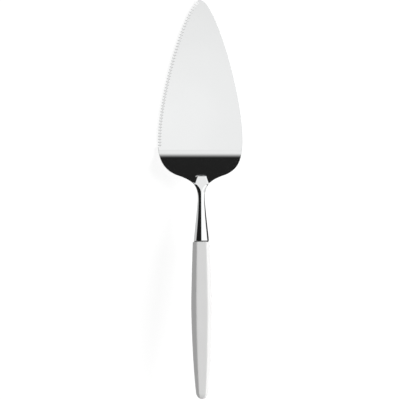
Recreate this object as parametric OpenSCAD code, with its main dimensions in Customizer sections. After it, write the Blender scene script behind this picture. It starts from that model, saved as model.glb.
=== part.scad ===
// Cake server: polished blade with a serrated left edge, raised heel, slender neck and bevelled handle.
// Lengths are in mm and angles in degrees.
// The blade lies flat on z = 0 and its tip points along +Y. The origin is on the underside, in the middle
// of the line where the blade is widest. Neck, tang, handle and bond share one straight grip line,
// which starts at the root and rises towards the end of the handle.

/* [Blade] */
// Width on the widest line
blade_w = 57.5; // [48:0.5:66]
// Length from the widest line to the tip
tip_l = 95.4; // [80:0.2:110]
// Flat length behind the widest line, up to the bend
flat_l = 6; // [4:0.1:9]
// Thickness of the sheet
sheet_t = 2; // [1.6:0.1:2.2]
// Share of the half width over which the tip is blunt
tip_blunt_share = 0.346; // [0.25:0.002:0.45]
// Share of the tip length over which the sides stay full
side_full_share = 0.334; // [0.25:0.002:0.45]

/* [Serration] */
// Distance between teeth, along the edge
tooth_pitch = 2.08; // [2:0.02:2.8]
// Radius of the ground grooves, as a share of the pitch
groove_r_share = 0.58; // [0.56:0.01:0.7]
// Width of the ground band on the top face
band_w = 2.4; // [1.8:0.1:3.2]
// Depth of the notches in the edge
notch_d = 0.25; // [0.15:0.05:0.4]
// Distance from the tip to the first groove, along the edge
tooth_start = 3; // [3:0.2:8]

/* [Heel] */
// Run from the start of the bend to the root
heel_l = 23.4; // [20:0.2:27]
// Steepness of the heel
heel_angle = 33; // [26:0.5:38]
// Radius of the bend, in the middle of the sheet
bend_r = 12; // [8:0.5:14]
// Radius of the crown, in the middle of the sheet
crown_r = 1.6; // [1.4:0.1:4]
// Straight length between the crown and the root
stub_l = 0.2; // [0.2:0.1:3]
// Length of the tongue that carries the top of the neck forward over the heel
tongue_l = 6; // [4:0.2:8]
// Width at the root, where blade and neck are welded
root_w = 10.5; // [9:0.1:12]

/* [Neck] */
// Rise of the grip line
grip_rise = 6; // [3:0.2:10]
// Length from the root to the face of the handle
neck_l = 38.8; // [34:0.1:46]
// Distance from the root to the waist
waist_at = 9.6; // [8:0.1:12]
// Width at the waist
waist_w = 4.8; // [4.2:0.1:5.6]
// Height at the waist
waist_h = 4.2; // [3.6:0.1:5]
// Width at the handle
neck_end_w = 10.4; // [9.4:0.1:11]
// Height at the handle
neck_end_h = 8; // [7.4:0.1:8.4]
// Radius of the edge round the end of the neck
neck_edge_r = 0.9; // [0.4:0.1:1.2]

/* [Handle] */
// Length of the handle
handle_l = 106; // [95:0.2:120]
// Width of its front face
handle_top_w = 11.6; // [11.2:0.1:12.6]
// Height of its front face
handle_top_h = 9; // [8.8:0.1:9.8]
// Width at its widest place
handle_w = 14.1; // [13:0.1:16]
// Height at its widest place
handle_h = 10.2; // [9.8:0.1:12]
// Distance from the front face to the widest place
handle_full_at = 43; // [36:0.5:50]
// Width where the rounded end starts
handle_end_w = 8.4; // [7.6:0.1:9.4]
// Height where the rounded end starts
handle_end_h = 6.4; // [5.8:0.1:7.4]
// Length of the rounded end
handle_cap_l = 5; // [4:0.1:6]
// Radius of the edge round the front face
handle_edge_r = 0.5; // [0.3:0.05:0.7]
// Share of the half width that is flat on top
handle_flat_share = 0.58; // [0.48:0.01:0.64]
// Share of the half height that stands upright at the side
handle_side_share = 0.34; // [0.26:0.01:0.42]

/* [Tang] */
// Diameter of the tang
tang_d = 4.4; // [4:0.1:4.8]
// Depth of the seat in the neck
tang_seat = 7; // [6:0.2:8]
// Length inside the handle
tang_l = 44; // [36:0.5:70]
// Distance between the rings cut into the tang
ring_pitch = 8; // [6:0.5:10]
// Width of each ring
ring_w = 1.6; // [1:0.1:2.2]
// Depth of each ring
ring_d = 0.4; // [0.3:0.05:0.6]
// Diameter of the bore in the handle
bore_d = 6; // [5.8:0.1:6.4]
// Adhesive beyond the end of the tang
bond_end = 1.5; // [1:0.1:2.5]
// Clearance round the tang and round the bond
fit_gap = 0.05; // [0.03:0.01:0.08]

/* [Hidden] */
overrun = 1;
edge_steps = 36;
curve_steps = 12;
arc_steps = 10;
groove_steps = 4;
groove_turn = 72;
ring_steps = 32;
corner_steps = 4;
cap_steps = 6;
cap_turn = 82;
half_w = blade_w / 2;
back_l = flat_l + heel_l;

// Heel of the blade in plan: control points as shares of the half width and of the length behind the widest line
shoulder_shares = [[1, 0], [1, 0.351], [0.935, 0.672], [0.5355, 0.805]];
hollow_shares = [[0.5355, 0.805], [0.3616, 0.863], [0.251, 0.924]];
// Tongue in plan, from its nose to the root: shares of the half width of the root and of the tongue's length
tongue_shares = [[0, 1], [0.78, 1], [0.62, 0.86], [1, 0]];
// Neck in plan: how much of the width between root and waist is left, at shares of the length to the waist
throat_shares = [[1, 0], [0.239, 0.258], [0, 0.575], [0, 1]];
// Stem of the neck in plan: how much of the width is gained, at shares of its length
stem_shares = [[0, 0], [0, 0.143], [0.918, 0.884], [1, 1]];
// Handle in plan: how much of the width is gained in front of the widest place, and left behind it
swell_shares = [[0, 0], [0.19, 0.122], [1, 0.844], [1, 1]];
taper_shares = [[1, 0], [1, 0.114], [0.814, 0.63], [0, 1]];
// Shares of the corner sides that round the section of the handle
soft_share = 0.12;
// Powers of the neck's section: nearly square at the root, oval from the waist on
root_power = 9;
oval_power = 2.2;

function bez(p, t) =
  pow(1 - t, 3) * p[0] + 3 * pow(1 - t, 2) * t * p[1] + 3 * (1 - t) * t * t * p[2] + pow(t, 3) * p[3];
function curve(p, n) = [for (i = [0:n]) bez(p, i / n)];
function tail(list) = [for (i = [1:len(list) - 1]) list[i]];
function back(shares) = [for (s = shares) [s[0] * half_w, -s[1] * back_l]];
function mirrored(list) = [for (i = [len(list) - 1:-1:0]) [-list[i][0], list[i][1]]];

// Right half of the blade in plan, from the tip to the root
tip_curve = [
  [0, tip_l],
  [half_w * tip_blunt_share, tip_l],
  [half_w, tip_l * side_full_share],
  [half_w, 0]
];
hollow_curve = concat(back(hollow_shares), [[root_w / 2, -back_l]]);
blade_edge = concat(curve(tip_curve, edge_steps), tail(curve(back(shoulder_shares), curve_steps)));
blade_half = concat(blade_edge, tail(curve(hollow_curve, curve_steps)), [[root_w / 2, -back_l - overrun]]);

// Middle line of the sheet behind the bend, each point with its steepness
slope_run = heel_l - bend_r * sin(heel_angle) - crown_r * (sin(heel_angle) - sin(grip_rise)) - stub_l * cos(grip_rise);
slope_rise = slope_run * tan(heel_angle);
bend_line = [
  for (i = [0:arc_steps])
    let (a = heel_angle * i / arc_steps)
      [-flat_l - bend_r * sin(a), sheet_t / 2 + bend_r * (1 - cos(a)), a]
];
crown_start = bend_line[arc_steps] + [-slope_run, slope_rise, 0];
crown_line = [
  for (i = [0:arc_steps])
    let (a = heel_angle + (grip_rise - heel_angle) * i / arc_steps)
      [
        crown_start[0] - crown_r * (sin(heel_angle) - sin(a)),
        crown_start[1] + crown_r * (cos(a) - cos(heel_angle)),
        a
      ]
];
root_point = crown_line[arc_steps] + [-stub_l * cos(grip_rise), stub_l * sin(grip_rise), 0];
sheet_line = concat([[tip_l + overrun, sheet_t / 2, 0]], bend_line, crown_line, [root_point]);

// The grip line starts on the top face of the sheet at the root
root_y = root_point[0] + sin(grip_rise) * sheet_t / 2;
root_z = root_point[1] + cos(grip_rise) * sheet_t / 2;
axis_z = -neck_end_h / 2;

// Space between the middle of the sheet and the plane on which the top of the neck starts, from the side
tongue_side = concat(
  [for (p = concat(bend_line, crown_line, [root_point])) [p[0], p[1]]],
  [[root_y, root_z], [-flat_l, root_z - (-flat_l - root_y) * tan(grip_rise)]]
);
tongue_half = [for (p = curve(tongue_shares, curve_steps)) [p[0] * root_w / 2, root_y + p[1] * tongue_l]];

// Points along the toothed edge at equal distances
function step_l(i) = norm(blade_edge[i + 1] - blade_edge[i]);
edge_at = [for (i = 0, s = 0; i < len(blade_edge); s = s + (i < len(blade_edge) - 1 ? step_l(i) : 0), i = i + 1) s];
function segment(s) = max([for (i = [0:len(blade_edge) - 2]) if (edge_at[i] <= s) i]);
function on_edge(s) =
  let (i = segment(s)) blade_edge[i] + (blade_edge[i + 1] - blade_edge[i]) * (s - edge_at[i]) / step_l(i);
tooth_count = floor((edge_at[edge_steps] + flat_l - tooth_start) / tooth_pitch);
groove_r = tooth_pitch * groove_r_share;
groove_tilt = atan(sheet_t / (band_w - notch_d));
groove_section = concat(
  [
    for (i = [-groove_steps:groove_steps])
      let (a = groove_turn * i / groove_steps)
        [groove_r * sin(a), groove_r * (1 - cos(a))]
  ],
  [for (side = [1, -1]) [side * groove_r * sin(groove_turn), 2 * sheet_t]]
);

// Places along the neck, each [distance from the root, half width, half height, height of its middle, power]
stem_l = neck_l - waist_at - neck_edge_r;
stem_slope = (neck_end_h - waist_h) / stem_l;
throat_heights = [sheet_t, sheet_t, waist_h - stem_slope * waist_at / 3, waist_h];
throat_places = [
  for (p = curve(throat_shares, curve_steps))
    let (h = bez(throat_heights, p[1]), fade = pow(1 - p[1], 2))
      [
        p[1] * waist_at,
        waist_w / 2 + p[0] * (root_w - waist_w) / 2,
        h / 2,
        -h / 2,
        oval_power + (root_power - oval_power) * fade
      ]
];
stem_places = [
  for (p = tail(curve(stem_shares, curve_steps)))
    let (h = waist_h + p[1] * (neck_end_h - waist_h))
      [waist_at + p[1] * stem_l, waist_w / 2 + p[0] * (neck_end_w - waist_w) / 2, h / 2, -h / 2, oval_power]
];
neck_edge_places = [
  for (i = [1:corner_steps])
    let (a = 90 * i / corner_steps, less = neck_edge_r * (1 - cos(a)))
      [
        neck_l - neck_edge_r * (1 - sin(a)),
        neck_end_w / 2 - less,
        neck_end_h / 2 - less,
        axis_z,
        oval_power
      ]
];

// Places along the handle, each [distance from the front face, half width, half height]
handle_edge_places = [
  for (i = [corner_steps:-1:1])
    let (a = 90 * i / corner_steps, less = handle_edge_r * (1 - cos(a)))
      [handle_edge_r * (1 - sin(a)), handle_top_w / 2 - less, handle_top_h / 2 - less]
];
swell_places = [
  for (p = curve(swell_shares, curve_steps))
    [
      handle_edge_r + p[1] * (handle_full_at - handle_edge_r),
      (handle_top_w + p[0] * (handle_w - handle_top_w)) / 2,
      (handle_top_h + p[0] * (handle_h - handle_top_h)) / 2
    ]
];
taper_l = handle_l - handle_full_at - handle_cap_l;
taper_places = [
  for (p = tail(curve(taper_shares, curve_steps)))
    [
      handle_full_at + p[1] * taper_l,
      (handle_end_w + p[0] * (handle_w - handle_end_w)) / 2,
      (handle_end_h + p[0] * (handle_h - handle_end_h)) / 2
    ]
];
cap_places = [
  for (i = [1:cap_steps])
    let (a = cap_turn * i / cap_steps)
      [
        handle_l - handle_cap_l + handle_cap_l * sin(a) / sin(cap_turn),
        cos(a) * handle_end_w / 2,
        cos(a) * handle_end_h / 2
      ]
];

// Section of the handle as shares of its half width and half height, with softened corners
handle_corners = [
  [handle_flat_share, 1],
  [-handle_flat_share, 1],
  [-1, handle_side_share],
  [-1, -handle_side_share],
  [-handle_flat_share, -1],
  [handle_flat_share, -1],
  [1, -handle_side_share],
  [1, handle_side_share]
];
function corner(i) = handle_corners[(i + 8) % 8];
handle_section = [
  for (i = [0:7], k = [0:corner_steps])
    let (
      t = k / corner_steps,
      from = corner(i) + (corner(i - 1) - corner(i)) * soft_share,
      to = corner(i) + (corner(i + 1) - corner(i)) * soft_share
    )
      pow(1 - t, 2) * from + 2 * (1 - t) * t * corner(i) + t * t * to
];

function rounded(v, power) = sign(v) * pow(abs(v), 2 / power);
function neck_ring(p) = [
  for (i = [0:ring_steps - 1])
    let (a = 360 * (i + 0.5) / ring_steps)
      [p[1] * rounded(cos(a), p[4]), -p[0], p[3] + p[2] * rounded(sin(a), p[4])]
];
function handle_ring(p) = [for (q = handle_section) [q[0] * p[1], -neck_l - p[0], axis_z + q[1] * p[2]]];

// Closed body through rings that follow each other towards the end of the handle
module loft(rings) {
  n = len(rings[0]);
  last = (len(rings) - 1) * n;
  sides = [
    for (j = [0:len(rings) - 2], i = [0:n - 1], half = [0, 1])
      let (a = j * n + i, b = j * n + (i + 1) % n)
        half == 0 ? [a, a + n, b + n] : [a, b + n, b]
  ];
  front = [for (i = [0:n - 1]) i];
  rear = [for (i = [n - 1:-1:0]) last + i];
  polyhedron(points = [for (r = rings) each r], faces = concat([front], sides, [rear]));
}

// Places its children on the grip line
module on_grip() {
  translate([0, root_y, root_z])
    rotate([-grip_rise, 0, 0])
      children();
}

// Round body on the grip line from one distance to another, behind the root
module rod(from, to, d) {
  translate([0, -from, axis_z])
    rotate([90, 0, 0])
      cylinder(h = to - from, d = d, $fn = 64);
}

// Bent sheet as wide as the blade, before it is cut to its outline
module sheet() {
  top = [for (p = sheet_line) [p[0] + sin(p[2]) * sheet_t / 2, p[1] + cos(p[2]) * sheet_t / 2]];
  under = [for (p = sheet_line) [p[0] - sin(p[2]) * sheet_t / 2, p[1] - cos(p[2]) * sheet_t / 2]];
  rotate([90, 0, 90])
    linear_extrude(height = blade_w + overrun, center = true)
      polygon(concat(top, [for (i = [len(under) - 1:-1:0]) under[i]]));
}

// Tongue on the heel, with upright walls and its top level with the top of the neck
module tongue() {
  intersection() {
    linear_extrude(height = root_z + overrun)
      polygon(concat(tongue_half, mirrored(tail(tongue_half))));
    rotate([90, 0, 90])
      linear_extrude(height = blade_w, center = true)
        polygon(tongue_side);
  }
}

// One groove ground across the left edge, deepest at the edge
module groove(s) {
  p = on_edge(s);
  q = on_edge(s + groove_r / 2);
  translate([-p[0], p[1], 0])
    rotate([0, 0, atan2(q[0] - p[0], p[1] - q[1])])
      translate([notch_d, 0, 0])
        rotate([0, -groove_tilt, 0])
          translate([-2 * overrun, 0, 0])
            rotate([90, 0, 90])
              linear_extrude(height = 3 * overrun + norm([sheet_t, band_w - notch_d]))
                polygon(groove_section);
}

module blade() {
  color([0.86, 0.87, 0.88])
    difference() {
      intersection() {
        union() {
          sheet();
          tongue();
        }
        translate([0, 0, -overrun])
          linear_extrude(height = root_z + 2 * overrun)
            polygon(concat(blade_half, mirrored(tail(blade_half))));
      }
      for (i = [0:tooth_count - 1])
        groove(tooth_start + i * tooth_pitch);
    }
}

module neck() {
  color([0.8, 0.81, 0.82])
    on_grip()
      difference() {
        loft([for (p = concat(throat_places, stem_places, neck_edge_places)) neck_ring(p)]);
        rod(neck_l - tang_seat, neck_l + overrun, tang_d + 2 * fit_gap);
      }
}

module tang() {
  color([0.6, 0.61, 0.62])
    on_grip()
      difference() {
        rod(neck_l - tang_seat, neck_l + tang_l, tang_d);
        for (s = [ring_pitch:ring_pitch:tang_l - ring_pitch / 2])
          difference() {
            rod(neck_l + s - ring_w / 2, neck_l + s + ring_w / 2, tang_d + overrun);
            rod(neck_l + s - ring_w / 2 - overrun, neck_l + s + ring_w / 2 + overrun, tang_d - 2 * ring_d);
          }
      }
}

module handle() {
  color([0.95, 0.95, 0.94])
    on_grip()
      difference() {
        loft([for (p = concat(handle_edge_places, swell_places, taper_places, cap_places)) handle_ring(p)]);
        rod(neck_l - overrun, neck_l + tang_l + bond_end, bore_d);
      }
}

module bond() {
  color([0.82, 0.76, 0.6])
    on_grip()
      difference() {
        rod(neck_l, neck_l + tang_l + bond_end, bore_d - 2 * fit_gap);
        rod(neck_l - overrun, neck_l + tang_l, tang_d + 2 * fit_gap);
      }
}

blade();
neck();
tang();
handle();
bond();
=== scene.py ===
"""Looks of a cake server: polished head, white handle, pale studio, seen from straight above."""

import math

import bpy
import numpy as np
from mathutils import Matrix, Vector


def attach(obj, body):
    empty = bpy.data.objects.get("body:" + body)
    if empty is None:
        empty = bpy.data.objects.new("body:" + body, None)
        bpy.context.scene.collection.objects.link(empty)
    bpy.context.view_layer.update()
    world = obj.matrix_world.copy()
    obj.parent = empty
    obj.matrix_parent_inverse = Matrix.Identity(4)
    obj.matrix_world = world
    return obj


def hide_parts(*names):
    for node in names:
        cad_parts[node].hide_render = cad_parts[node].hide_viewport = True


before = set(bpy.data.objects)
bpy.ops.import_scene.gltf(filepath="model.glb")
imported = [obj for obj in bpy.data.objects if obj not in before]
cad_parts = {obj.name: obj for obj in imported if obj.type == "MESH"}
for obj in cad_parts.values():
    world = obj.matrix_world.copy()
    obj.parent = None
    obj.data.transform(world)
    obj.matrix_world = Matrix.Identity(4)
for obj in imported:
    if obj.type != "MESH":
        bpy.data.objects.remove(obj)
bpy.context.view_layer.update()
scene = bpy.context.scene

# Sizes of the part in millimetres, as in its CAD source. N stands for a number of points
MM = 0.001
HALF_W, TIP_L, FLAT_L, SHEET_T = 28.75, 95.4, 6.0, 2.0
TIP_BLUNT, SIDE_FULL = 0.346, 0.334
TOOTH_PITCH, GROOVE_R, BAND_W, NOTCH_D, TOOTH_START = 2.08, 1.2064, 2.4, 0.25, 3.0
TOOTH_COUNT = 50
HEEL_L, HEEL_ANGLE, BEND_R, CROWN_R, STUB_L = 23.4, math.radians(33), 12.0, 1.6, 0.2
TONGUE_L, ROOT_HALF = 6.0, 5.25
RISE = math.radians(6)
NECK_L, WAIST_AT, WAIST_HALF, WAIST_H = 38.8, 9.6, 2.4, 4.2
NECK_END_HALF, NECK_END_H, NECK_EDGE_R = 5.2, 8.0, 0.9
HANDLE_L, FULL_AT, CAP_L, HANDLE_EDGE_R = 106.0, 43.0, 5.0, 0.5
FRONT_HALF, FRONT_H, FULL_HALF, FULL_H, END_HALF, END_H = 5.8, 9.0, 7.05, 10.2, 4.2, 6.4
FLAT_SHARE, SIDE_SHARE, SOFT_SHARE, SIDE_SOFT = 0.58, 0.34, 0.12, 0.3
SEAT_R, SEAT_L, BORE_R, BORE_L = 2.25, 7.0, 3.0, 45.5
BACK_L = FLAT_L + HEEL_L
AXIS_Z = -NECK_END_H / 2
OVAL_POWER = 2.2

# Plans as control points. All but the first are shares of a width and of a length
TIP_CURVE = [(0, TIP_L), (HALF_W * TIP_BLUNT, TIP_L), (HALF_W, TIP_L * SIDE_FULL), (HALF_W, 0)]
SHOULDER_PLAN = [(1, 0), (1, 0.351), (0.935, 0.672), (0.5355, 0.805)]
HOLLOW_PLAN = [(0.5355, 0.805), (0.3616, 0.863), (0.251, 0.924)]
TONGUE_PLAN = [(0, 1), (0.78, 1), (0.62, 0.86), (1, 0)]
THROAT_PLAN = [(1, 0), (0.239, 0.258), (0, 0.575), (0, 1)]
STEM_PLAN = [(0, 0), (0, 0.143), (0.918, 0.884), (1, 1)]
SWELL_PLAN = [(0, 0), (0.19, 0.122), (1, 0.844), (1, 1)]
TAPER_PLAN = [(1, 0), (1, 0.114), (0.814, 0.63), (0, 1)]

# Finer forms that only the looks have: round edges, and the soft rim, steep wall and nose of the
# tongue. The handle is a hair slimmer than its solid, so that it stays inside the solid's box
EDGE_R, UNDER_R = 0.3, 0.2
WALL_W = 0.06
NOSE_BEVEL, NOSE_SOFT, NOSE_SLOPE = 0.72, 0.1, math.tan(math.radians(30)) - math.tan(RISE)
RIM_W, RIM_SOFT, RIM_SLOPE = 1.15, 0.25, math.tan(math.radians(5.2))
RIM_FROM = -27.6
HANDLE_FIT = 0.997
# Length over which shade is painted onto the handle's front, where it meets the neck
JOINT_SHADE_L = 0.45

# Faces that meet at a steeper angle than the crease, in degrees, or are in different groups keep
# their edge
CREASE, TINY = 35, 1e-12
END_FACE, BORE_WALL, BORE_FLOOR, BLADE_CUT, NECK_CUT, FIRST_GROOVE = 2, 3, 4, 5, 6, 10

# The head is one skin with two parts and two kinds of steel
BLADE, NECK = 0, 1
GROUND = 1

# Numbers of points on a short plan, on a long one, on a bend, on a small corner and at the ends of
# the handle
PLAN_N, SPAN_N, BEND_N, CORNER_N, FRONT_N, CAP_N = 49, 31, 61, 9, 7, 17


def bez(points, t):
    """Points of the cubic curve through four control points."""
    p = np.array(points, float)
    t = np.atleast_1d(np.asarray(t, float))[:, None]
    return (1 - t) ** 3 * p[0] + 3 * (1 - t) ** 2 * t * p[1] + 3 * (1 - t) * t**2 * p[2] + t**3 * p[3]


def smooth(x):
    """Smooth step from 0 to 1."""
    x = np.clip(x, 0, 1)
    return x * x * (3 - 2 * x)


def behind(shares):
    """Control points behind the widest line, from their shares of its half width and of the length there."""
    return [(x * HALF_W, -y * BACK_L) for x, y in shares]


# Right half of the blade in plan, from the tip to the root
shoulder = behind(SHOULDER_PLAN)
hollow = behind(HOLLOW_PLAN) + [(ROOT_HALF, -BACK_L)]
fine = np.linspace(0, 1, 401)
outline = np.vstack([bez(TIP_CURVE, fine), bez(shoulder, fine)[1:], bez(hollow, fine)[1:]])
steps = np.hypot(*np.diff(outline, axis=0).T)
outline_at = np.concatenate([[0], np.cumsum(steps)])
tangents = np.gradient(outline, outline_at, axis=0)


def on_outline(s):
    """Point on the right side at a distance from the tip, and the way inwards from there."""
    p = [np.interp(s, outline_at, outline[:, i]) for i in (0, 1)]
    d = [np.interp(s, outline_at, tangents[:, i]) for i in (0, 1)]
    size = math.hypot(*d)
    return np.array(p), np.array([d[1], -d[0]]) / size


def distance_at(y):
    """Distance from the tip at which the outline reaches a height in plan."""
    return float(np.interp(-y, -outline[:, 1], outline_at))


# The sheet from the side: its middle line, each point with its steepness
turn = np.linspace(0, HEEL_ANGLE, BEND_N)
bend_line = np.stack(
    [-FLAT_L - BEND_R * np.sin(turn), SHEET_T / 2 + BEND_R * (1 - np.cos(turn)), turn], axis=1
)
slope_run = (
    HEEL_L
    - BEND_R * math.sin(HEEL_ANGLE)
    - CROWN_R * (math.sin(HEEL_ANGLE) - math.sin(RISE))
    - STUB_L * math.cos(RISE)
)
crown_start = bend_line[-1, :2] + [-slope_run, slope_run * math.tan(HEEL_ANGLE)]
turn = np.linspace(HEEL_ANGLE, RISE, BEND_N)
crown_line = np.stack(
    [
        crown_start[0] - CROWN_R * (math.sin(HEEL_ANGLE) - np.sin(turn)),
        crown_start[1] + CROWN_R * (np.cos(turn) - math.cos(HEEL_ANGLE)),
        turn,
    ],
    axis=1,
)
root_point = crown_line[-1] + [-STUB_L * math.cos(RISE), STUB_L * math.sin(RISE), 0]
middle = np.vstack([[TIP_L + 1, SHEET_T / 2, 0], bend_line, crown_line, root_point])


def sheet_face(side):
    """Height of the top (side 1) or the underside (side -1) of the sheet against y."""
    y = middle[:, 0] + side * np.sin(middle[:, 2]) * SHEET_T / 2
    z = middle[:, 1] + side * np.cos(middle[:, 2]) * SHEET_T / 2
    return lambda at: np.interp(-np.asarray(at), -y, z)


sheet_top, sheet_under = sheet_face(1), sheet_face(-1)
root_y = root_point[0] + math.sin(RISE) * SHEET_T / 2
root_z = root_point[1] + math.cos(RISE) * SHEET_T / 2

# Tongue in plan, carried on behind the root so that only its nose and sides count
CARRY_ON = 3
tongue = bez(TONGUE_PLAN, np.linspace(0, 1, PLAN_N)) * [ROOT_HALF, TONGUE_L] + [0, root_y]
tongue = np.vstack([tongue, [ROOT_HALF + CARRY_ON, root_y - CARRY_ON]])


def tongue_inset(x, y):
    """Distance inside the tongue's outline, less than zero outside it."""
    p = np.stack([np.abs(x), y], axis=1)
    a, b = tongue[:-1], tongue[1:]
    way = b - a
    t = ((p[:, None] - a) * way).sum(2) / (way * way).sum(1)
    near = a + np.clip(t, 0, 1)[:, :, None] * way
    gap = np.sqrt(((p[:, None] - near) ** 2).sum(2)).min(1)
    width = np.interp(-y, -tongue[:, 1], tongue[:, 0])
    inside = (np.abs(x) < width) & (y < tongue[0, 1])
    return np.where(inside, gap, -gap)


def bevel(beyond, soft, slope):
    """Fall of a bevel at a distance beyond its start, where it sets in softly."""
    u = np.maximum(beyond, 0)
    return slope * np.where(u > soft, u - soft / 2, u * u / (2 * soft))


def rim_fall(inset):
    """How far the soft rim has fallen at a distance inside its outline."""
    return bevel(RIM_W - np.maximum(inset, 0), RIM_SOFT, RIM_SLOPE)


def head_top(x, y):
    """Height of the top face of the blade: the sheet, and the tongue that stands on its heel."""
    x, y = np.atleast_1d(np.asarray(x, float)), np.atleast_1d(np.asarray(y, float))
    low = sheet_top(y)
    level = root_z - (y - root_y) * math.tan(RISE)
    inset = tongue_inset(x, y)
    top = level - rim_fall(inset) - bevel(y - root_y - TONGUE_L + NOSE_BEVEL, NOSE_SOFT, NOSE_SLOPE)
    stands = np.maximum(top - low, 0) * smooth((inset + WALL_W) / WALL_W)
    reach = np.interp(-y, -outline[:, 1], outline[:, 0])
    near = smooth((RIM_FROM - y) / (RIM_FROM + BACK_L))
    return low + stands - near * rim_fall(reach - np.abs(x))


class Skin:
    """Points and faces of a closed skin, in millimetres. Faces of one group are shaded into each other."""

    def __init__(self):
        self.points, self.faces, self.groups, self.kinds, self.parts = [], [], [], [], []

    def add(self, points):
        """Takes in new points and gives their numbers."""
        start = len(self.points)
        self.points += [tuple(float(c) for c in p) for p in points]
        return list(range(start, len(self.points)))

    def face(self, corners, group=0, kind=0, part=0):
        self.faces.append(corners)
        self.groups.append(group)
        self.kinds.append(kind)
        self.parts.append(part)

    def band(self, a, b, **tags):
        """Faces between two closed rings of points."""
        for i in range(len(a)):
            j = (i + 1) % len(a)
            self.face([a[i], b[i], b[j], a[j]], **tags)

    def normals(self):
        """For each face corner, the mean of the faces round it in the same group, by their area."""
        p = np.array(self.points)
        area_normals = []
        for f in self.faces:
            q = p[f]
            area_normals.append(np.cross(q, np.roll(q, -1, axis=0)).sum(0) / 2)
        sizes = [max(np.linalg.norm(n), TINY) for n in area_normals]
        units = [n / s for n, s in zip(area_normals, sizes)]
        round_vertex = [[] for _ in p]
        for i, f in enumerate(self.faces):
            for v in f:
                round_vertex[v].append(i)
        limit = math.cos(math.radians(CREASE))
        found = []
        for i, f in enumerate(self.faces):
            unit, group, corners = units[i], self.groups[i], []
            for v in f:
                total = np.zeros(3)
                for k in round_vertex[v]:
                    if self.groups[k] == group and units[k] @ unit > limit:
                        total = total + area_normals[k]
                size = np.linalg.norm(total)
                corners.append(total / size if size > TINY else unit)
            found.append(corners)
        return found

    def build(self, name, materials, replaced, part=0):
        """Makes the object of one part of the skin, riding on the root body in place of its CAD node."""
        chosen = [i for i, p in enumerate(self.parts) if p == part]
        used = sorted({v for i in chosen for v in self.faces[i]})
        number = {v: k for k, v in enumerate(used)}
        mesh = bpy.data.meshes.new(name)
        mesh.from_pydata(
            [Vector(self.points[v]) * MM for v in used],
            [],
            [[number[v] for v in self.faces[i]] for i in chosen],
        )
        for m in materials:
            mesh.materials.append(m)
        mesh.polygons.foreach_set("material_index", [self.kinds[i] for i in chosen])
        mesh.polygons.foreach_set("use_smooth", [True] * len(chosen))
        mesh.normals_split_custom_set([n for i in chosen for n in self.shading[i]])
        obj = bpy.data.objects.new(name, mesh)
        scene.collection.objects.link(obj)
        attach(obj, "root")
        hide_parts(replaced)


def on_grip(x, along, up):
    """Point beside the grip line, from its distance behind the root and its height over the line."""
    y = root_y - along * math.cos(RISE) + up * math.sin(RISE)
    return x, y, root_z + along * math.sin(RISE) + up * math.cos(RISE)


# Edge of the sheet: inset and height of the points from the underside up to the top face. The
# middle of a round corner lies inside the sharp one by MID_SHARE of its radius
quarter = [math.radians(a) for a in (0, 22.5, 45, 67.5, 90)]
MID_SHARE = 0.293
UNDER_PROFILE = [(UNDER_R, 0), (UNDER_R * MID_SHARE, UNDER_R * MID_SHARE), (0, UNDER_R)]
TOP_PROFILE = [(EDGE_R * (1 - math.cos(a)), EDGE_R * (math.sin(a) - 1)) for a in quarter]
PROFILE_N = len(UNDER_PROFILE) + len(TOP_PROFILE)
GROOVE_TILT = math.atan(SHEET_T / (BAND_W - NOTCH_D))
GROOVE_EDGE = 1.14
SEAM, LIP_MIN = 0.02, 0.04

# Samples along the toothed side: distance from the tip, distance from a groove's middle, number of
# the groove
half_pitch = TOOTH_PITCH / 2
last_tooth = TOOTH_START + (TOOTH_COUNT - 1) * TOOTH_PITCH
samples = []
for i in range(TOOTH_COUNT):
    first = -GROOVE_EDGE / half_pitch if i == 0 else -1
    for share in [first, -0.75, -0.5, -0.25, 0, 0.25, 0.5, 0.75]:
        samples.append((TOOTH_START + i * TOOTH_PITCH + share * half_pitch, share * half_pitch, i))
samples.append((last_tooth + GROOVE_EDGE, GROOVE_EDGE, TOOTH_COUNT - 1))


def groove_rise(offset):
    """Height of the groove's round floor over its lowest line, at a distance from its middle."""
    return GROOVE_R - math.sqrt(GROOVE_R**2 - offset**2)


def plain_column(s, side, tilt=0.0):
    """Points of the edge from the underside to the top face. The tilt leans the edge back at the root."""
    p, inward = on_outline(s)
    points = []
    for inset, up in UNDER_PROFILE:
        q = p + inward * inset
        y = q[1] - tilt
        points.append((side * q[0], y, float(sheet_under(y)) + up))
    for inset, up in TOP_PROFILE:
        q = p + inward * inset
        y = q[1] + tilt
        points.append((side * q[0], y, float(head_top(q[0], y)[0]) + up))
    return points


def groove_column(s, offset, side):
    """Points of the toothed edge in one groove, up the slope of its floor."""
    p, inward = on_outline(s)
    rise = groove_rise(offset) / math.cos(GROOVE_TILT)
    slope = math.tan(GROOVE_TILT)
    foot = max(0.0, NOTCH_D - rise / slope)
    lip = max(LIP_MIN, (foot - NOTCH_D) * slope + rise)
    end = NOTCH_D + (SHEET_T - rise) / slope
    line = [(foot + 1.5 * SEAM, 0.0), (foot, SEAM)]
    for t in np.linspace(0, 1, PROFILE_N - len(line)):
        line.append((foot + (end - foot) * t, lip + (SHEET_T - lip) * t))
    points = []
    for inset, z in line:
        q = p + inward * inset
        points.append((side * q[0], q[1], z))
    return points


def spans(*ends):
    """Places along a line, from the start, the end and the number of places of each span."""
    return np.concatenate([np.linspace(*end) for end in ends])


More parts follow.
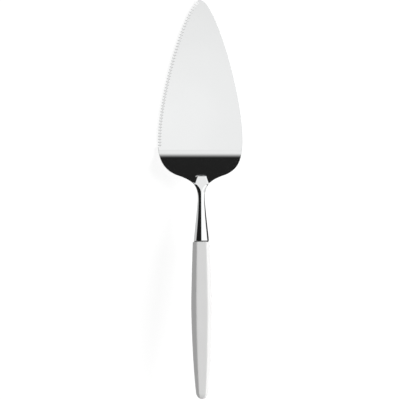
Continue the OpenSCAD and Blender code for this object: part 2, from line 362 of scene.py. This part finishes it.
# Flat part of the blade: both edges, from the tip to the junction with the bend
JUNCTION = 107.7
RIGHT_AT = spans((0.4, 12, 24), (13, JUNCTION, 72))
LEFT_BEFORE = spans((0.3, samples[0][0] - SEAM, 9))
LEFT_BEHIND = spans((samples[-1][0] + SEAM, JUNCTION, 6))
head = Skin()
tip_column = head.add(plain_column(0.0, 1))
right = [tip_column] + [head.add(plain_column(s, 1)) for s in RIGHT_AT]
left = [tip_column] + [head.add(plain_column(s, -1)) for s in LEFT_BEFORE]
left += [head.add(groove_column(s, offset, -1)) for s, offset, tooth in samples]
left += [head.add(plain_column(s, -1)) for s in LEFT_BEHIND]
teeth = [None] * (1 + len(LEFT_BEFORE)) + [tooth for s, offset, tooth in samples] + [None] * len(LEFT_BEHIND)


def edge_faces(a, b, tooth=None):
    """Faces of the edge between two columns. Those of a groove are ground steel, each groove a group."""
    for k in range(PROFILE_N - 1):
        ground = tooth is not None and k >= 2
        tags = {"group": FIRST_GROOVE + tooth, "kind": GROUND} if ground else {}
        head.face([a[k], b[k], b[k + 1], a[k + 1]], **tags)


for a, b in zip(right, right[1:]):
    edge_faces(b, a)
for i in range(len(left) - 1):
    edge_faces(left[i], left[i + 1], teeth[i + 1] if teeth[i] is None else teeth[i])

# Heel: rows of points from edge to edge, closest together where the tongue stands. Half a row has
# points in the middle part, with the rim of the tongue and its steep wall, and others out to the
# edge
CENTRE_N, SIDE_N, RIM_N, WALL_N = 30, 16, 12, 3
HALF_N = CENTRE_N + SIDE_N
INNER_N = 2 * HALF_N - 1
RIM_LEAST, RIM_MOST, OUTWARD_POWER = 2.5, 0.96, 1.2
nose_y = root_y + TONGUE_L
ROWS_AT = spans(
    (-FLAT_L - 0.3, -FLAT_L - 6.6, 22),
    (-FLAT_L - 7.6, nose_y + 1.2, 9),
    (nose_y + 0.9, nose_y + 0.55, 3),
    (nose_y + 0.45, nose_y - 1.3, 30),
    (nose_y - 1.42, -BACK_L, 34),
)


def spread(y, reach):
    """Shares of the half width at which the points of a row stand, from the left edge to the right."""
    wall = float(np.interp(-y, -tongue[:, 1], tongue[:, 0], left=0.0))
    rim = min(max(wall, RIM_LEAST), RIM_MOST * reach - WALL_W)
    inner = np.concatenate(
        [
            (rim - RIM_W) * np.linspace(0, 1, CENTRE_N - RIM_N - WALL_N - 1, endpoint=False),
            rim - RIM_W + RIM_W * np.linspace(0, 1, RIM_N + 1),
            rim + WALL_W * np.linspace(0, 1, WALL_N + 1)[1:],
        ]
    )
    outer = inner[-1] + (reach - inner[-1]) * np.linspace(0, 1, SIDE_N + 2)[1:] ** OUTWARD_POWER
    half = np.concatenate([inner, outer]) / reach
    return np.concatenate([-half[:0:-1], half])


def row(a, b):
    """Closed ring of points across the heel between the edge columns a on the left and b on the right."""
    top_l, top_r = (np.array(head.points[c[-1]]) for c in (a, b))
    low_l, low_r = (np.array(head.points[c[0]]) for c in (a, b))
    shares = spread(top_r[1], top_r[0])[1:-1, None]
    top = (top_l + top_r) / 2 + shares * (top_r - top_l) / 2
    top[:, 2] = head_top(top[:, 0], top[:, 1])
    low = (low_l + low_r) / 2 + shares * (low_r - low_l) / 2
    low[:, 2] = sheet_under(low[:, 1])
    return a + head.add(top) + b[::-1] + head.add(low)[::-1]


rings = [row(left[-1], right[-1])]
for y in ROWS_AT:
    tilt = math.sin(RISE) * SHEET_T / 2 * (y + FLAT_L) / (FLAT_L - BACK_L)
    s = distance_at(y)
    rings.append(row(head.add(plain_column(s, -1, tilt)), head.add(plain_column(s, 1, tilt))))

first = rings[0]
top_row = first[PROFILE_N - 1 : PROFILE_N + INNER_N + 1]
low_row = first[2 * PROFILE_N + INNER_N - 1 :] + first[:1]
head.face([c[-1] for c in reversed(right)] + [c[-1] for c in left[1:]] + top_row[1:-1])
head.face([c[0] for c in reversed(left)] + [c[0] for c in right[1:]] + low_row[1:-1])
for a, b in zip(rings, rings[1:]):
    head.band(a, b)


def oval(half, high, angle):
    """Point of the oval section, from the side round to its lowest or highest point."""
    c, d = math.cos(angle), math.sin(angle)
    return (
        half * math.copysign(abs(c) ** (2 / OVAL_POWER), c),
        high * math.copysign(abs(d) ** (2 / OVAL_POWER), d),
    )


# Neck: rings with the same points as the last row of the blade. Its top is flat at the root,
# narrows to a ridge over RIDGE_L, and falls from there to both sides, softly at first and then ever
# more steeply. The section of the root turns into the neck's own over TOP_TURN_L above and
# UNDER_TURN_L below
TOP_TURN_L, UNDER_TURN_L = 0.25, 6.5
ROOT_FLAT, RIDGE_L, RIDGE_POWER = 3.3, 6.0, 1.9
RIDGE_W, RIDGE_MOST, FLANK_END = 0.3, 0.3, 0.99
FLAT_POINTS, FLAT_FULL, FLANK_POWER = 0.45, 2, 1.4
EDGE_LEAD, SIDE_ANGLES, LOW_SPAN = 0.3, (-14, -8, -2), 76

# Steepness of the flank in degrees at its start, at two shares of its width that change along the
# neck, and at three shares near its edge
TURNS = [7.0, 25, 28.5, 43, 75, 86]
EDGE_SHARES = [0.985, 0.996, 1]
FLANK_AT = [0, 3.5, 8, 10.6, 14.7, 21, 27, NECK_L]
FULL_SHARE = [0.97, 0.93, 0.83, 0.79, 0.75, 0.70, 0.71, 0.745]
LATE_SHARE = [0.98, 0.945, 0.85, 0.81, 0.76, 0.725, 0.725, 0.75]
flank_at = np.linspace(0, 1, 801)
root_local = []
for v in rings[-1]:
    x, y, z = head.points[v]
    root_local.append((x, (z - root_z) * math.cos(RISE) + (y - root_y) * math.sin(RISE)))


def flank_fall(along):
    """Fall of the flank for each share of its width, at a distance behind the root."""
    full, late = (float(np.interp(along, FLANK_AT, shares)) for shares in (FULL_SHARE, LATE_SHARE))
    turns = np.interp(flank_at, [0, full, late] + EDGE_SHARES, TURNS)
    slopes = np.tan(np.radians(turns))
    return np.concatenate([[0], np.cumsum((slopes[1:] + slopes[:-1]) / 2 * flank_at[1])])


def neck_ring(along, half, high, mid):
    """Points round the neck, from the right shape at the root into the neck's own section."""
    flat = ROOT_FLAT * max(0.0, 1 - along / RIDGE_L) ** RIDGE_POWER
    width = half - flat
    fall = flank_fall(along)
    soft = min(RIDGE_W, RIDGE_MOST * width)
    first = math.tan(math.radians(TURNS[0]))

    def top_at(share):
        """Point of the right side of the top at a share of the way from the middle to the edge."""
        part = FLAT_POINTS * min(1.0, flat / FLAT_FULL)
        if share < part:
            return share / part * flat, mid + high
        u = FLANK_END * (1 - (1 - (share - part) / (1 - part)) ** FLANK_POWER)
        d = u * width
        drop = float(np.interp(u, flank_at, fall)) * width
        less = first * soft / 2 if d > soft else first * (d - d * d / (2 * soft))
        return flat + d, mid + high - drop + less

    edge_x, edge_z = top_at(1.0)
    column = [oval(half, high, math.radians(a)) for a in SIDE_ANGLES]
    column = [(x, mid + z) for x, z in column]
    for k in range(len(TOP_PROFILE)):
        t = (k + EDGE_LEAD) / (len(TOP_PROFILE) - 1 + EDGE_LEAD)
        column.append((half + (edge_x - half) * t**3, mid + (edge_z - mid) * t))
    tops = [top_at(k / HALF_N) for k in range(HALF_N)]
    lows = []
    for k in range(HALF_N):
        x, z = oval(half, high, math.radians(-90 + LOW_SPAN * k / HALF_N))
        lows.append((abs(x) if k else 0.0, mid + z))
    shape = [(-x, z) for x, z in column]
    shape += [(-x, z) for x, z in tops[:0:-1]] + tops
    shape += column[::-1]
    shape += lows[:0:-1] + [(-x, z) for x, z in lows]
    under_n = len(UNDER_PROFILE)
    top_share = float(smooth(along / TOP_TURN_L))
    under_share = float(smooth(along / UNDER_TURN_L))
    points = []
    for i, ((x, z), (bar_x, bar_z)) in enumerate(zip(shape, root_local)):
        j = i - under_n
        upper = 0 <= j < 2 * len(TOP_PROFILE) + INNER_N
        share = top_share if upper else under_share
        bar_x *= half / ROOT_HALF
        if not upper:
            bar_z -= 2 * high - SHEET_T
        points.append(on_grip(bar_x + (x - bar_x) * share, along, bar_z + (z - bar_z) * share))
    return points


STEM_L = NECK_L - WAIST_AT - NECK_EDGE_R
stem_slope = (NECK_END_H - WAIST_H) / STEM_L
throat_h = [SHEET_T, SHEET_T, WAIST_H - stem_slope * WAIST_AT / 3, WAIST_H]
places = []
for x, y in bez(THROAT_PLAN, np.linspace(0, 1, PLAN_N)):
    h = bez([(v, 0) for v in throat_h], y)[0, 0]
    places.append((y * WAIST_AT, WAIST_HALF + x * (ROOT_HALF - WAIST_HALF), h, 0.0))
for x, y in bez(STEM_PLAN, np.linspace(0, 1, SPAN_N))[1:]:
    h = WAIST_H + y * (NECK_END_H - WAIST_H)
    places.append((WAIST_AT + y * STEM_L, WAIST_HALF + x * (NECK_END_HALF - WAIST_HALF), h, 0.0))
for a in np.linspace(0, math.pi / 2, CORNER_N)[1:]:
    less = NECK_EDGE_R * (1 - math.cos(a))
    places.append((NECK_L - NECK_EDGE_R * (1 - math.sin(a)), NECK_END_HALF - less, NECK_END_H, less))

neck_rings = [rings[-1]]
for along, half, h, less in places[1:]:
    neck_rings.append(head.add(neck_ring(along, half, h / 2 - less, -h / 2)))
for a, b in zip(neck_rings, neck_rings[1:]):
    head.band(a, b, part=NECK)


def bore(skin, ring, radius, along_face, along_floor):
    """Points round the mouth and the floor of a blind hole on the grip line, one for each of a ring."""
    centre = on_grip(0, along_face, AXIS_Z)
    turns = []
    for v in ring:
        x, y, z = skin.points[v]
        up = (z - centre[2]) * math.cos(RISE) + (y - centre[1]) * math.sin(RISE)
        turns.append(math.atan2(up, x))
    circle = [(radius * math.cos(a), AXIS_Z + radius * math.sin(a)) for a in turns]
    return [skin.add([on_grip(x, along, up) for x, up in circle]) for along in (along_face, along_floor)]


mouth, floor_ring = bore(head, neck_rings[-1], SEAT_R, NECK_L, NECK_L - SEAT_L)
head.band(neck_rings[-1], mouth, group=END_FACE, part=NECK)
head.band(mouth, floor_ring, group=BORE_WALL, part=NECK)
head.face(floor_ring[::-1], group=BORE_FLOOR, part=NECK)
head.face(rings[-1][::-1], group=BLADE_CUT)
head.face(rings[-1], group=NECK_CUT, part=NECK)


# Handle: softened octagon, swelling towards the middle, with a rounded end
corners = [
    (FLAT_SHARE, 1), (-FLAT_SHARE, 1), (-1, SIDE_SHARE), (-1, -SIDE_SHARE),
    (-FLAT_SHARE, -1), (FLAT_SHARE, -1), (1, -SIDE_SHARE), (1, SIDE_SHARE),
]
section = []
for i in range(len(corners)):
    c, before, after = (np.array(corners[(i + k) % len(corners)], float) for k in (0, -1, 1))
    soft = SIDE_SOFT if abs(c[0]) == 1 else SOFT_SHARE
    start, end = c + (before - c) * soft, c + (after - c) * soft
    for t in np.linspace(0, 1, CORNER_N):
        section.append((1 - t) ** 2 * start + 2 * (1 - t) * t * c + t * t * end)
section = np.array(section) * HANDLE_FIT

# Rings from the front edge to the rounded end. The last one stands at CAP_END degrees round the cap
CAP_END = 88
hand = Skin()
spots = []
for a in np.linspace(math.pi / 2, 0, FRONT_N):
    less = HANDLE_EDGE_R * (1 - math.cos(a))
    spots.append((HANDLE_EDGE_R * (1 - math.sin(a)), FRONT_HALF - less, FRONT_H / 2 - less))
for x, y in bez(SWELL_PLAN, np.linspace(0, 1, SPAN_N))[1:]:
    spots.append((
        HANDLE_EDGE_R + y * (FULL_AT - HANDLE_EDGE_R),
        FRONT_HALF + x * (FULL_HALF - FRONT_HALF),
        (FRONT_H + x * (FULL_H - FRONT_H)) / 2,
    ))
taper_l = HANDLE_L - FULL_AT - CAP_L
for x, y in bez(TAPER_PLAN, np.linspace(0, 1, SPAN_N))[1:]:
    spots.append((
        FULL_AT + y * taper_l,
        END_HALF + x * (FULL_HALF - END_HALF),
        (END_H + x * (FULL_H - END_H)) / 2,
    ))
for a in np.radians(np.linspace(0, CAP_END, CAP_N))[1:]:
    spots.append((HANDLE_L - CAP_L + CAP_L * math.sin(a), math.cos(a) * END_HALF, math.cos(a) * END_H / 2))
hand_rings = [
    hand.add([on_grip(x * half, NECK_L + along, AXIS_Z + z * high) for x, z in section])
    for along, half, high in spots
]
for a, b in zip(hand_rings, hand_rings[1:]):
    hand.band(b, a)
hand.face(hand_rings[-1])
mouth, floor_ring = bore(hand, hand_rings[0], BORE_R, NECK_L, NECK_L + BORE_L)
hand.band(hand_rings[0], mouth, group=END_FACE)
hand.band(mouth, floor_ring, group=BORE_WALL)
hand.face(floor_ring[::-1], group=BORE_FLOOR)


# Materials. Noise scales are per metre, and the heights of reliefs are in metres
class Nodes:
    """A node tree that is built by calls."""

    def __init__(self, tree):
        self.tree = tree
        tree.nodes.clear()

    def new(self, kind, links=None, **settings):
        """Node of a kind, with a value or a link for each of its named inputs."""
        node = self.tree.nodes.new(kind)
        for key, value in settings.items():
            setattr(node, key, value)
        for key, value in (links or {}).items():
            self.set(node.inputs[key], value)
        return node

    def set(self, socket, value):
        if isinstance(value, bpy.types.NodeSocket):
            self.tree.links.new(value, socket)
        else:
            socket.default_value = value

    def math(self, operation, *values):
        node = self.new("ShaderNodeMath", operation=operation)
        for i, v in enumerate(values):
            self.set(node.inputs[i], v)
        return node.outputs[0]

    def ramp(self, value, low, high, start=0.0, end=1.0):
        """Smooth step of a value from one number to another."""
        node = self.new("ShaderNodeMapRange", interpolation_type="SMOOTHSTEP")
        for i, v in enumerate([value, low, high, start, end]):
            self.set(node.inputs[i], v)
        return node.outputs[0]

    def noise(self, vector, scale, detail):
        links = {"Vector": vector, "Scale": scale, "Detail": detail}
        return self.new("ShaderNodeTexNoise", links).outputs["Fac"]

    def stretched(self, vector, scale):
        return self.new("ShaderNodeMapping", {"Vector": vector, "Scale": scale}).outputs[0]

    def bump(self, height, distance, normal=None):
        """Relief of up to a distance in metres, over another one if that is given."""
        links = {"Height": height, "Distance": distance, "Strength": 1.0}
        if normal is not None:
            links["Normal"] = normal
        return self.new("ShaderNodeBump", links).outputs[0]

    def mix(self, factor, a, b):
        """Mix of two colours."""
        node = self.new("ShaderNodeMix", data_type="RGBA")
        self.set(node.inputs[0], factor)
        self.set(node.inputs[6], a)
        self.set(node.inputs[7], b)
        return node.outputs[2]


def grey(level):
    return level, level, level, 1


def material(name):
    """New material with its node calls, the inputs of its shader and the place in the CAD frame."""
    m = bpy.data.materials.new(name)
    m.use_nodes = True
    n = Nodes(m.node_tree)
    shader = n.new("ShaderNodeBsdfPrincipled")
    n.new("ShaderNodeOutputMaterial", {"Surface": shader.outputs[0]})
    place = n.new("ShaderNodeTexCoord").outputs["Object"]
    return m, n, shader.inputs, place


def polished_steel():
    m, n, s, place = material("polished_steel")
    lines = n.noise(n.stretched(place, (9000, 500, 3000)), 1.0, 3.0)
    haze = n.noise(place, 60.0, 4.0)
    sway = n.noise(place, 22.0, 1.0)
    n.set(s["Base Color"], n.mix(haze, (0.875, 0.885, 0.885, 1), (0.89, 0.895, 0.895, 1)))
    n.set(s["Metallic"], 1.0)
    rough = n.math("ADD", n.math("MULTIPLY", lines, 0.03), n.math("MULTIPLY", haze, 0.03))
    n.set(s["Roughness"], n.math("ADD", rough, 0.015))
    n.set(s["Normal"], n.bump(sway, 6e-5, n.bump(lines, 3e-7)))
    return m


def ground_steel():
    m, n, s, place = material("ground_steel")
    lines = n.noise(n.stretched(place, (700, 9000, 700)), 1.0, 3.0)
    n.set(s["Base Color"], n.mix(lines, (0.88, 0.885, 0.885, 1), (0.94, 0.945, 0.945, 1)))
    n.set(s["Metallic"], 1.0)
    n.set(s["Roughness"], n.math("ADD", n.math("MULTIPLY", lines, 0.05), 0.04))
    n.set(s["Normal"], n.bump(lines, 1e-6))
    return m


def white_plastic():
    m, n, s, place = material("white_plastic")
    cloud = n.noise(place, 90.0, 3.0)
    grain = n.noise(place, 1400.0, 2.0)
    # Painted shade: the plastic turns dark grey towards its front face, in place of the shade in the joint
    # with the neck
    _, y, z = n.new("ShaderNodeSeparateXYZ", {0: place}).outputs
    along = n.math("SUBTRACT", n.math("MULTIPLY", z, math.sin(RISE)), n.math("MULTIPLY", y, math.cos(RISE)))
    front = (NECK_L - root_y * math.cos(RISE) + root_z * math.sin(RISE)) * MM
    painted_joint_shade = n.ramp(along, front + JOINT_SHADE_L * MM, front)
    plain = n.mix(cloud, (0.79, 0.79, 0.785, 1), (0.82, 0.82, 0.815, 1))
    n.set(s["Base Color"], n.mix(painted_joint_shade, plain, grey(0.14)))
    n.set(s["Roughness"], n.math("ADD", n.math("MULTIPLY", grain, 0.08), 0.16))
    n.set(s["IOR"], 1.49)
    n.set(s["Normal"], n.bump(grain, 1.5e-6))
    return m


def turned_steel():
    m, n, s, place = material("turned_steel")
    rings = n.noise(n.stretched(place, (200, 9000, 200)), 1.0, 2.0)
    n.set(s["Base Color"], n.mix(rings, (0.52, 0.53, 0.54, 1), (0.6, 0.61, 0.62, 1)))
    n.set(s["Metallic"], 1.0)
    n.set(s["Roughness"], n.math("ADD", n.math("MULTIPLY", rings, 0.2), 0.25))
    n.set(s["Normal"], n.bump(rings, 5e-6))
    return m


def cured_epoxy():
    m, n, s, place = material("cured_epoxy")
    cloud = n.noise(place, 300.0, 4.0)
    n.set(s["Base Color"], n.mix(cloud, (0.70, 0.62, 0.42, 1), (0.82, 0.74, 0.55, 1)))
    n.set(s["Roughness"], n.math("ADD", n.math("MULTIPLY", cloud, 0.2), 0.3))
    n.set(s["Normal"], n.bump(cloud, 2e-5))
    return m


polished, ground, white = polished_steel(), ground_steel(), white_plastic()
head.shading = head.normals()
hand.shading = hand.normals()
head.build("blade_skin", [polished, ground], "blade", part=BLADE)
head.build("neck_skin", [polished], "neck", part=NECK)
hand.build("handle_skin", [white], "handle")
for name, made in (("tang", turned_steel()), ("bond", cured_epoxy())):
    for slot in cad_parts[name].material_slots:
        slot.material = made

# Studio: a pale floor that keeps the shadow, and a dome with pale panels and dark flags for
# polished steel to mirror. The floor is clear from below
FLOOR_SIZE, FLOOR_Z, FLOOR_GREY, FLOOR_GLOW = 40.0, -0.0002, 0.35, 0.8
LEAN = math.radians(3.2)
mesh = bpy.data.meshes.new("floor")
mesh.from_pydata(
    [(x * FLOOR_SIZE / 2, y * FLOOR_SIZE / 2, FLOOR_Z) for x, y in ((-1, -1), (1, -1), (1, 1), (-1, 1))],
    [],
    [[0, 1, 2, 3]],
)
floor = bpy.data.objects.new("floor", mesh)
scene.collection.objects.link(floor)
paper = bpy.data.materials.new("paper")
paper.use_nodes = True
n = Nodes(paper.node_tree)
path = n.new("ShaderNodeLightPath").outputs
seen = n.math("MAXIMUM", path["Is Camera Ray"], path["Is Glossy Ray"])
seen = n.math("MAXIMUM", seen, path["Is Transmission Ray"])
diffuse = n.new("ShaderNodeBsdfDiffuse", {"Color": grey(FLOOR_GREY)}).outputs[0]
strength = n.math("MULTIPLY", seen, FLOOR_GLOW)
glow = n.new("ShaderNodeEmission", {"Color": (1, 1, 1, 1), "Strength": strength}).outputs[0]
both = n.new("ShaderNodeAddShader", {0: diffuse, 1: glow}).outputs[0]
under = n.new("ShaderNodeNewGeometry").outputs["Backfacing"]
clear = n.new("ShaderNodeBsdfTransparent").outputs[0]
shown = n.new("ShaderNodeMixShader", {0: under, 1: both, 2: clear}).outputs[0]
n.new("ShaderNodeOutputMaterial", {"Surface": shown})
floor.data.materials.append(paper)

world = bpy.data.worlds.new("studio")
scene.world = world
world.use_nodes = True
n = Nodes(world.node_tree)
X, Y, Z = n.new("ShaderNodeSeparateXYZ", {0: n.new("ShaderNodeTexCoord").outputs["Generated"]}).outputs
side = n.math("SUBTRACT", X, math.sin(LEAN))
breadth, length = n.math("ABSOLUTE", X), n.math("ABSOLUTE", Y)
off = n.math("DIVIDE", n.math("ABSOLUTE", side), n.math("MAXIMUM", Y, 0.001))
near = n.math("SUBTRACT", Y, n.math("MULTIPLY", breadth, 4.0))
far = n.math("ADD", Y, n.math("MULTIPLY", breadth, 0.6))

# The dome straight above, where the flat of the blade and the bend mirror it
sky = n.new("ShaderNodeMapRange", {0: Y, 1: 0.0183, 2: 0.045, 3: 1.0, 4: 0.88}).outputs[0]
shade = n.math("MULTIPLY", n.ramp(side, -0.0033, 0.008), n.ramp(Y, 0.035, 0.018, 0.0, 0.05))
sky = n.math("SUBTRACT", sky, shade)
sky = n.math("ADD", sky, n.ramp(Y, 0.08, 0.16, 0.0, 0.032))
sky = n.math("SUBTRACT", sky, n.ramp(Y, 0.018, 0.0115, 0.0, 0.032))

# Panels and flags, each over those before it. A row holds the tone and the soft limits: a value,
# the number at which the panel sets in, and the number at which it is full
LENGTH_LIMIT = (length, 0.8, 0.55)
PANELS = [
    # Pale on the right, brightest where the neck mirrors it
    (0.985, (side, 0.05, 0.1), LENGTH_LIMIT),
    (1.13, (side, 0.19, 0.24), LENGTH_LIMIT),
    # Grey on the right in front and behind, so that pale steel keeps its outline from other sides
    (0.72, (X, 0.3, 0.4), (Y, 0.35, 0.5)),
    (0.78, (X, 0.58, 0.68), (Y, 0.14, 0.04)),
    # Dusk behind, dark and low on the right, grey and low on the left
    (0.3, (Y, -0.28, -0.42), (Z, 0.2, 0.35)),
    (0.03, (X, 0.3, 0.5), (Z, 0.52, 0.46), LENGTH_LIMIT),
    (0.6, (X, -0.3, -0.4), (Z, 0.7, 0.64), (Z, 0.0, 0.06), LENGTH_LIMIT),
    # Dark flag in front, which the heel mirrors, with its low corner
    (0.0156, (Y, 0.38, 0.88), (off, 0.4, 0.3), (Z, 0.3, 0.38)),
    (0.0156, (X, -0.12, -0.2), (X, -0.6, -0.52), (Y, 0.7, 0.8), (Z, 0.05, 0.12)),
    # Dark flag on the left, which the left flank of the neck mirrors
    (0.012, (X, -0.01, -0.045), (near, 0.3, 0.15), (far, -0.5, -0.35), (Z, 0.66, 0.72)),
]
for tone, *limits in PANELS:
    weight = n.ramp(*limits[0])
    for limit in limits[1:]:
        weight = n.math("MULTIPLY", weight, n.ramp(*limit))
    sky = n.math("ADD", sky, n.math("MULTIPLY", weight, n.math("SUBTRACT", tone, sky)))

# The camera sees white, mirrors see the panels, and all else is lit by a plain level
AMBIENT = 0.41
path = n.new("ShaderNodeLightPath").outputs
mirrored = n.math("MAXIMUM", path["Is Glossy Ray"], path["Is Transmission Ray"])
level = n.math("ADD", AMBIENT, n.math("MULTIPLY", mirrored, n.math("SUBTRACT", sky, AMBIENT)))
level = n.math("ADD", level, n.math("MULTIPLY", path["Is Camera Ray"], n.math("SUBTRACT", 1.0, level)))
background = n.new("ShaderNodeBackground", {"Color": (1, 1, 1, 1), "Strength": level})
n.new("ShaderNodeOutputWorld", {"Surface": background.outputs[0]})


def lamp(name, irradiance, size_deg, toward):
    """Sun that lights but isn't mirrored, by its irradiance, its angular size and the way to it."""
    data = bpy.data.lights.new(name, "SUN")
    data.energy = irradiance * math.pi
    data.angle = math.radians(size_deg)
    obj = bpy.data.objects.new(name, data)
    obj.rotation_mode = "QUATERNION"
    obj.rotation_quaternion = Vector(toward).to_track_quat("Z", "Y")
    obj.visible_glossy = False
    scene.collection.objects.link(obj)


KEY_LEVEL, KEY_SIZE, KEY_FROM = 0.82, 30, math.radians(61)
lamp("key", KEY_LEVEL, KEY_SIZE, (math.sin(KEY_FROM), 0.1, math.cos(KEY_FROM)))

# Camera: far above, leaning as little to the left as the photograph shows
data = bpy.data.cameras.new("camera")
camera = bpy.data.objects.new("camera", data)
scene.collection.objects.link(camera)
scene.camera = camera
DISTANCE, FRAME_W, SENSOR_W, CENTRE_Y = 3.0, 0.2710, 36, -0.04
data.sensor_width = SENSOR_W
data.lens = SENSOR_W * DISTANCE / FRAME_W
data.clip_start, data.clip_end = 0.1, 100
centre = Vector((0.0, CENTRE_Y, 0.0))
back_way = Vector((-math.sin(LEAN), 0, math.cos(LEAN)))
camera.location = centre + back_way * DISTANCE
camera.rotation_euler = (0, -LEAN, 0)

scene.view_settings.view_transform = "Standard"
